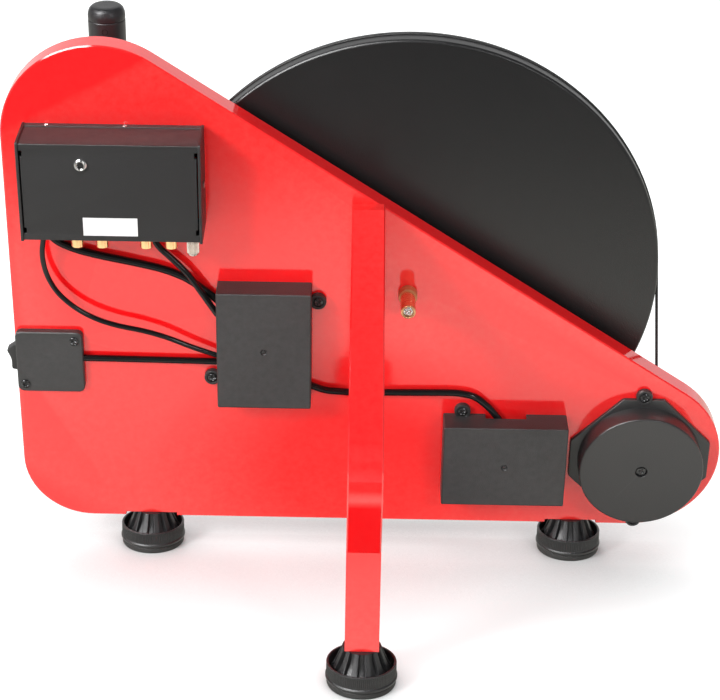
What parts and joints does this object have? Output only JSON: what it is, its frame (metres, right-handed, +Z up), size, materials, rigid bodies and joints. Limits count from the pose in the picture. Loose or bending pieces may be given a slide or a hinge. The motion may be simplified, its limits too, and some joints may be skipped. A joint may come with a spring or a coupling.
{
  "type": "vertical record player",
  "caption": "Upright belt-drive record player: a leaning gloss-red board with platter and tonearm on its front, electrics on its back, a bent rear leg and three levelling feet.",
  "frame": {"origin": "centre of the bounding box, on the floor plane under the feet", "axes": "+X along the board towards its tall end, +Y out of its back, towards the rear leg, +Z up; the front, with the platter, faces -Y"},
  "size_m": [0.4338, 0.2431, 0.344],
  "materials": {
    "red_lacquer": "high-gloss red lacquer on dense fibreboard",
    "black_acrylic": "satin black",
    "felt": "black felt",
    "steel": "turned steel",
    "brass": "turned brass",
    "bronze": "sintered bronze",
    "anodised": "black anodised",
    "bright_aluminium": "satin aluminium",
    "moulded_cover": "lightly textured dark grey moulding",
    "cup_plastic": "dark grey moulding, finely knurled",
    "pad_rubber": "soft black rubber",
    "lead_jacket": "glossy black jacket",
    "box_paint": "satin black paint",
    "black_screw": "black oxide",
    "gold_plate": "gold plated",
    "nickel": "nickel plated",
    "label_film": "plain white film",
    "board_green": "green board",
    "terminal_grey": "light grey moulding",
    "black_moulding": "black moulding",
    "stylus_red": "red moulding"
  },
  "bodies": {
    "base": {"plinth": "red_lacquer", "rear_leg": "red_lacquer", "leg_screws": "black_screw", "foot_inserts": "brass", "bearing_sleeve": "brass", "bearing_locknut": "brass", "bearing_bushes": "bronze", "bearing_end": "steel", "motor": "steel", "motor_isolator": "pad_rubber", "motor_cover": "moulded_cover", "drive_belt": "pad_rubber", "wiring_cover": "moulded_cover", "supply_cover": "moulded_cover", "terminal_blocks": "terminal_grey", "circuit_boards": "board_green", "box_shell": "box_paint", "box_end_plates": "box_paint", "box_screws": "black_screw", "blank_label": "label_film", "phono_sockets": "gold_plate", "ground_post": "nickel", "jack_socket": "nickel", "signal_lead_thin": "lead_jacket", "signal_lead_thick": "lead_jacket", "arm_lead": "lead_jacket", "switch_lead": "lead_jacket", "motor_lead": "lead_jacket", "switch_housing": "moulded_cover", "cover_screws": "black_screw", "face_screws": "black_screw", "arm_base": "anodised", "arm_rest": "black_moulding", "cue_bracket": "black_moulding"},
    "platter": {"platter": "black_acrylic", "platter_mat": "felt", "platter_spindle": "steel"},
    "clamp": {"record_clamp": "anodised"},
    "rotor": {"motor_shaft": "steel", "motor_pulley": "brass"},
    "arm_swivel": {"arm_yoke": "anodised", "arm_pivot_screws": "black_screw"},
    "arm": {"arm_cross": "anodised", "arm_tube": "bright_aluminium", "headshell": "bright_aluminium", "cartridge": "black_moulding", "stylus": "stylus_red"},
    "counterweight": {"counterweight": "anodised"},
    "arm_clip": {"arm_clip": "black_moulding"},
    "cue_lever": {"cue_lever": "black_moulding"},
    "cue_lift": {"cue_lift": "black_moulding"},
    "antiskate_knob": {"antiskate_knob": "bright_aluminium"},
    "power_rocker": {"power_rocker": "black_moulding"},
    "ground_nut": {"ground_nut": "nickel"},
    "foot_left": {"foot_left_cup": "cup_plastic", "foot_left_pad": "pad_rubber"},
    "foot_right": {"foot_right_cup": "cup_plastic", "foot_right_pad": "pad_rubber"},
    "foot_rear": {"foot_rear_cup": "cup_plastic", "foot_rear_pad": "pad_rubber"}
  },
  "joints": [
    {"name": "platter_spin", "type": "hinge", "parent": "base", "child": "platter", "pos_m": [-0.023, -0.05869, 0.18402], "axis": [0, 0.9893, -0.1461], "continuous": true},
    {"name": "clamp_off", "type": "slide", "parent": "platter", "child": "clamp", "axis": [0, -0.9893, 0.1461], "range_m": [0, 0.025]},
    {"name": "rotor_spin", "type": "hinge", "parent": "base", "child": "rotor", "pos_m": [-0.1678, -0.07505, 0.07322], "axis": [0, 0.9893, -0.1461], "continuous": true},
    {"name": "arm_swing", "type": "hinge", "parent": "base", "child": "arm_swivel", "pos_m": [0.155, -0.08507, 0.27232], "axis": [0, 0.9893, -0.1461], "range_deg": [0, 52]},
    {"name": "arm_lift", "type": "hinge", "parent": "arm_swivel", "child": "arm", "pos_m": [0.155, -0.08507, 0.27232], "axis": [-1, 0, 0], "range_deg": [0, 14]},
    {"name": "weight_slide", "type": "slide", "parent": "arm", "child": "counterweight", "axis": [0, 0.1461, 0.9893], "range_m": [-0.01, 0.003]},
    {"name": "clip_hinge", "type": "hinge", "parent": "base", "child": "arm_clip", "pos_m": [0.1612, -0.10542, 0.17829], "axis": [0, -0.1461, -0.9893], "range_deg": [0, 90]},
    {"name": "cue_lever_turn", "type": "hinge", "parent": "base", "child": "cue_lever", "pos_m": [0.1873, -0.05582, 0.25133], "axis": [-1, 0, 0], "range_deg": [0, 40]},
    {"name": "cue_lift_slide", "type": "slide", "parent": "base", "child": "cue_lift", "axis": [0, -0.9893, 0.1461], "range_m": [0, 0.004]},
    {"name": "antiskate_turn", "type": "hinge", "parent": "base", "child": "antiskate_knob", "pos_m": [0.155, -0.05187, 0.25074], "axis": [0, -0.9893, 0.1461], "range_deg": [0, 270]},
    {"name": "power_rock", "type": "hinge", "parent": "base", "child": "power_rocker", "pos_m": [0.2085, -0.04958, 0.13345], "axis": [0, 0.9893, -0.1461], "range_deg": [-22, 0]},
    {"name": "ground_nut_turn", "type": "hinge", "parent": "base", "child": "ground_nut", "pos_m": [0.1014, -0.01703, 0.21628], "axis": [0, -0.1461, -0.9893], "range_deg": [-180, 180]},
    {"name": "foot_left_turn", "type": "hinge", "parent": "base", "child": "foot_left", "pos_m": [0.1333, -0.06999, 0.01], "axis": [0, 0, 1], "range_deg": [-180, 180]},
    {"name": "foot_right_turn", "type": "hinge", "parent": "base", "child": "foot_right", "pos_m": [-0.1292, -0.06999, 0.01], "axis": [0, 0, 1], "range_deg": [-180, 180]},
    {"name": "foot_rear_turn", "type": "hinge", "parent": "base", "child": "foot_rear", "pos_m": [0.001, 0.096, 0.01], "axis": [0, 0, 1], "range_deg": [-180, 180]}
  ],
  "couplings": [
    {"joint": "rotor_spin", "follows": "platter_spin", "ratio": 9.836},
    {"joint": "cue_lift_slide", "follows": "cue_lever_turn", "m_per_rad": 0.0057}
  ]
}
